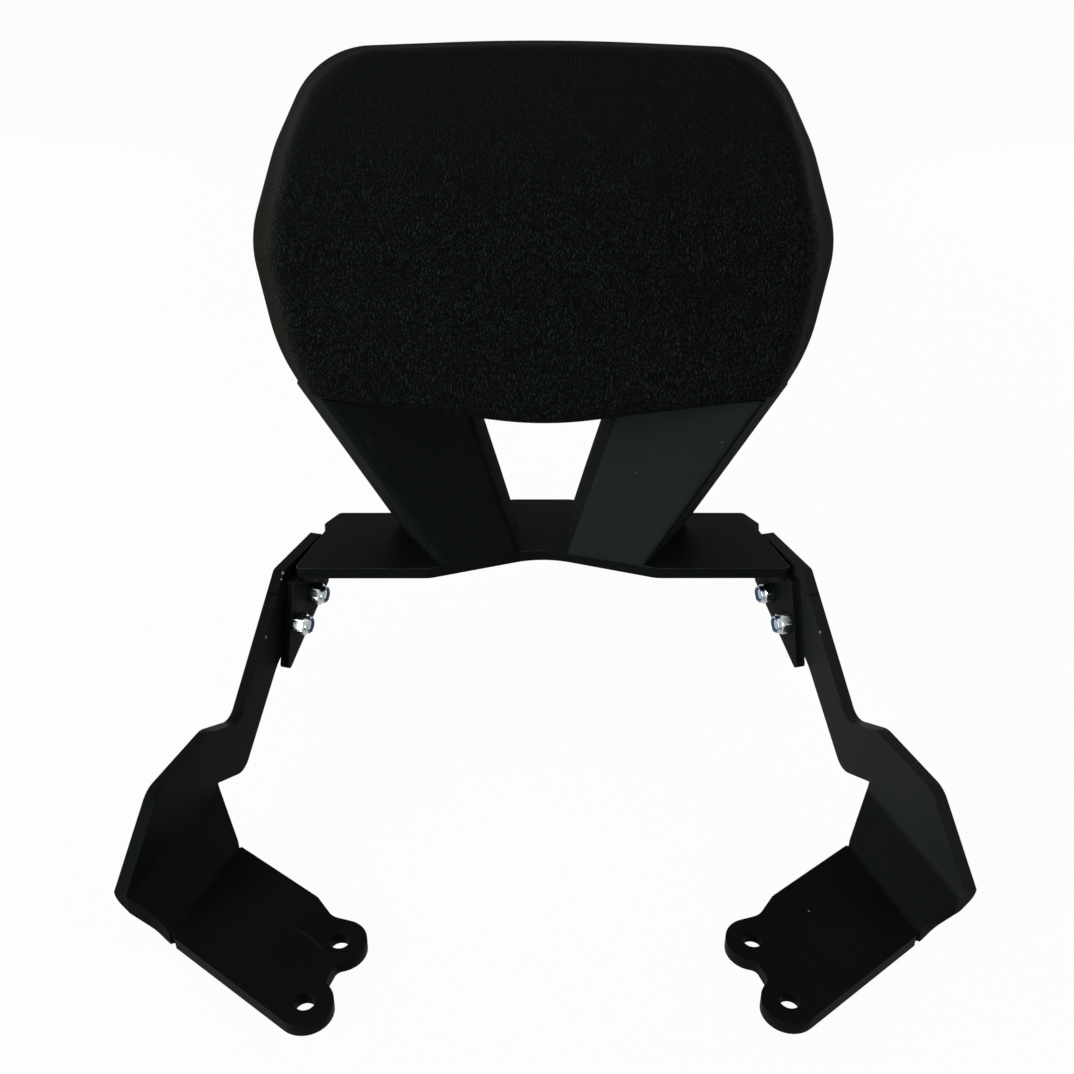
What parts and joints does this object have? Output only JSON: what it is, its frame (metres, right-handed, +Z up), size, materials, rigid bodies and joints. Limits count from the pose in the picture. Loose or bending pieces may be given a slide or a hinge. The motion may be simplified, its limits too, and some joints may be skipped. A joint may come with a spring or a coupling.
{
  "type": "sissy bar",
  "caption": "Padded passenger backrest on a moulded carrier with splayed legs, a steel cross plate and folded side brackets that bolt to a motorbike's tail.",
  "frame": {"origin": "midway between the front pair of mounting holes, on the underside of the feet", "axes": "+Z up, +Y to the rear of the bike, +X to its left; the pad faces forward, along -Y"},
  "size_m": [0.3664, 0.3, 0.3411],
  "materials": {
    "powder_coat": "fine satin black powder coat",
    "carrier_plastic": "satin black moulding",
    "pad_skin": "black moulded foam skin with a fine leather grain",
    "board_plastic": "plain black board",
    "zinc": "bright zinc plate",
    "nylon": "blue nylon",
    "insert_brass": "plain brass"
  },
  "bodies": {
    "root": {"backrest_pad": "pad_skin", "pad_board": "board_plastic", "backrest_carrier": "carrier_plastic", "cross_plate": "powder_coat", "pad_screws": "zinc", "pad_screw_washers": "zinc", "pad_inserts": "insert_brass", "left_bracket": "powder_coat", "right_bracket": "powder_coat", "left_ear": "powder_coat", "right_ear": "powder_coat", "left_ear_weld": "powder_coat", "right_ear_weld": "powder_coat", "left_bracket_bolts": "zinc", "right_bracket_bolts": "zinc", "left_bracket_washers": "zinc", "right_bracket_washers": "zinc", "left_lock_nuts": "zinc", "right_lock_nuts": "zinc", "left_nut_rings": "nylon", "right_nut_rings": "nylon", "left_leg_bolts": "zinc", "right_leg_bolts": "zinc", "left_leg_washers": "zinc", "right_leg_washers": "zinc", "left_leg_inserts": "insert_brass", "right_leg_inserts": "insert_brass"}
  },
  "joints": []
}
